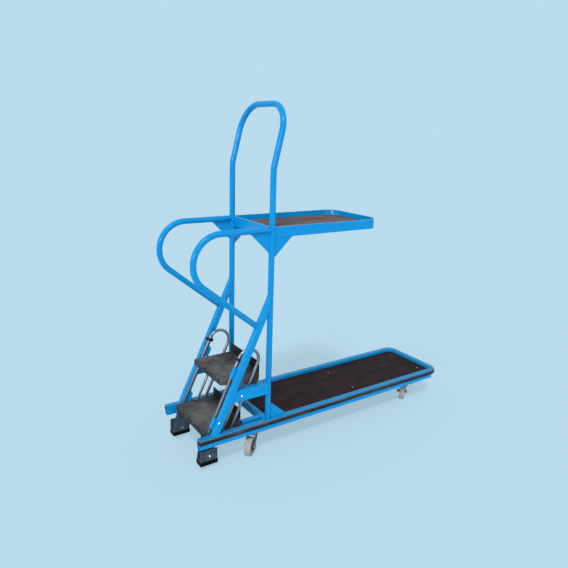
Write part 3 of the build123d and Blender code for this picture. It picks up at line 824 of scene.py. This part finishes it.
def castor_bolts():
    """Four bolts through each castor's plate, with the rolled ring of its ball race."""
    bolts = bmesh.new()
    rings = bmesh.new()
    for x, y in CASTOR_AXES.values():
        for dx in (-PLATE_BOLT_X, PLATE_BOLT_X):
            for dy in (-PLATE_BOLT_Y, PLATE_BOLT_Y):
                hex_bolt(bolts, (x + dx, y + dy, PLATE_LOW), -Z, PLATE_BOLT)
        ring = circle_points((x, y, PLATE_LOW - RACE_RING_DROP), X, Y, RACE_RING_R, 60)
        bead(rings, ring, closed=True, radius=RACE_WIRE_R, ripple=RACE_RIPPLE)
    finish_piece("castor_plate_bolts", bolts, "frame", "castor_zinc", BRIGHT_ZINC)
    finish_piece("castor_race_rings", rings, "frame", "castor_zinc")


def axle_nuts(castor):
    """The axle's head and nut, outside the fork."""
    bm = bmesh.new()
    lowest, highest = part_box(f"castor_hub_{castor}")
    middle = (lowest + highest) / 2
    trail = (middle - Vector((*CASTOR_AXES[castor], middle.z))).normalized()
    axle = Vector((-trail.y, trail.x, 0))
    cheek = FORK_WIDTH / 2
    hex_nut(bm, middle + axle * cheek, axle, AXLE_NUT)
    hex_bolt(bm, middle - axle * cheek, -axle, AXLE_NUT)
    finish_piece(f"castor_axle_nuts_{castor}", bm, f"castor_{castor}", "castor_zinc", DULL_ZINC)


frame_welds()
guide_welds()
step_welds()
deck_screws()
shelf_screws()
frame_bolts()
step_bolts()
foot_bolts()
collar_clamps()
castor_bolts()
for castor in CASTOR_AXES:
    axle_nuts(castor)


def floor_material():
    """Plain floor. For the camera a share of it is the bare background, so its shadow is light."""
    mat = bpy.data.materials.new("floor_pale_blue")
    mat.use_nodes = True
    tree = mat.node_tree
    lit = tree.nodes["Principled BSDF"]
    lit.inputs["Base Color"].default_value = BACKGROUND
    lit.inputs["Roughness"].default_value = 1
    lit.inputs["Specular IOR Level"].default_value = 0
    plain = tree.nodes.new("ShaderNodeEmission")
    plain.inputs["Color"].default_value = BACKGROUND
    path = tree.nodes.new("ShaderNodeLightPath")
    share = tree.nodes.new("ShaderNodeMath")
    share.operation = "MULTIPLY"
    share.inputs[1].default_value = FLOOR_PLAIN_SHARE
    blend = tree.nodes.new("ShaderNodeMixShader")
    tree.links.new(path.outputs["Is Camera Ray"], share.inputs[0])
    tree.links.new(share.outputs[0], blend.inputs[0])
    tree.links.new(lit.outputs[0], blend.inputs[1])
    tree.links.new(plain.outputs[0], blend.inputs[2])
    tree.links.new(blend.outputs[0], tree.nodes["Material Output"].inputs["Surface"])
    return mat


floor_mesh = bpy.data.meshes.new("floor")
floor_corners = [(x * FLOOR_REACH, y * FLOOR_REACH, 0) for x, y in ((-1, -1), (1, -1), (1, 1), (-1, 1))]
floor_mesh.from_pydata(floor_corners, [], [(0, 1, 2, 3)])
floor_mesh.materials.append(floor_material())
floor = bpy.data.objects.new("floor", floor_mesh)
bpy.context.scene.collection.objects.link(floor)


def studio_world():
    """Soft light, stronger near the horizon, with the plain background where the world is seen."""
    world = bpy.data.worlds.new("studio")
    bpy.context.scene.world = world
    world.use_nodes = True
    tree = world.node_tree
    glow = tree.nodes["Background"]
    glow.inputs["Color"].default_value = (1, 1, 1, 1)
    place = tree.nodes.new("ShaderNodeTexCoord")
    split = tree.nodes.new("ShaderNodeSeparateXYZ")
    tree.links.new(place.outputs["Generated"], split.inputs[0])
    fall = tree.nodes.new("ShaderNodeMapRange")
    tree.links.new(split.outputs["Z"], fall.inputs["Value"])
    for key, number in (("From Min", 0.0), ("From Max", SKY_FALL), ("To Min", HORIZON), ("To Max", ZENITH)):
        fall.inputs[key].default_value = number
    tree.links.new(fall.outputs["Result"], glow.inputs["Strength"])
    seen = tree.nodes.new("ShaderNodeBackground")
    seen.inputs["Color"].default_value = BACKGROUND
    seen.inputs["Strength"].default_value = 1
    path = tree.nodes.new("ShaderNodeLightPath")
    direct = path.outputs["Is Camera Ray"]
    for other in ("Is Glossy Ray", "Is Transmission Ray"):
        either = tree.nodes.new("ShaderNodeMath")
        either.operation = "MAXIMUM"
        tree.links.new(direct, either.inputs[0])
        tree.links.new(path.outputs[other], either.inputs[1])
        direct = either.outputs[0]
    blend = tree.nodes.new("ShaderNodeMixShader")
    tree.links.new(direct, blend.inputs[0])
    tree.links.new(glow.outputs[0], blend.inputs[1])
    tree.links.new(seen.outputs[0], blend.inputs[2])
    tree.links.new(blend.outputs[0], tree.nodes["World Output"].inputs["Surface"])


def sun(name, direction, strength, spread):
    """A sun lamp that shines from a direction, its light softened by its spread in degrees."""
    data = bpy.data.lights.new(name, "SUN")
    data.energy = strength
    data.angle = radians(spread)
    lamp = bpy.data.objects.new(name, data)
    lamp.rotation_euler = Vector(direction).to_track_quat("Z", "Y").to_euler()
    bpy.context.scene.collection.objects.link(lamp)


studio_world()
for name, direction, strength, spread in SUNS:
    sun(name, direction, strength, spread)

# Camera, at the photo's angle
camera_data = bpy.data.cameras.new("photo_camera")
camera_data.sensor_width = CAMERA_SENSOR
camera_data.lens = CAMERA_LENS
camera_data.clip_end = CAMERA_REACH
camera = bpy.data.objects.new("photo_camera", camera_data)
bpy.context.scene.collection.objects.link(camera)
bpy.context.scene.camera = camera
turn = Matrix((CAMERA_RIGHT, CAMERA_UP, -CAMERA_AHEAD)).transposed().to_4x4()
camera.matrix_world = Matrix.Translation(CAMERA_PLACE) @ turn

bpy.context.scene.view_settings.view_transform = "Standard"
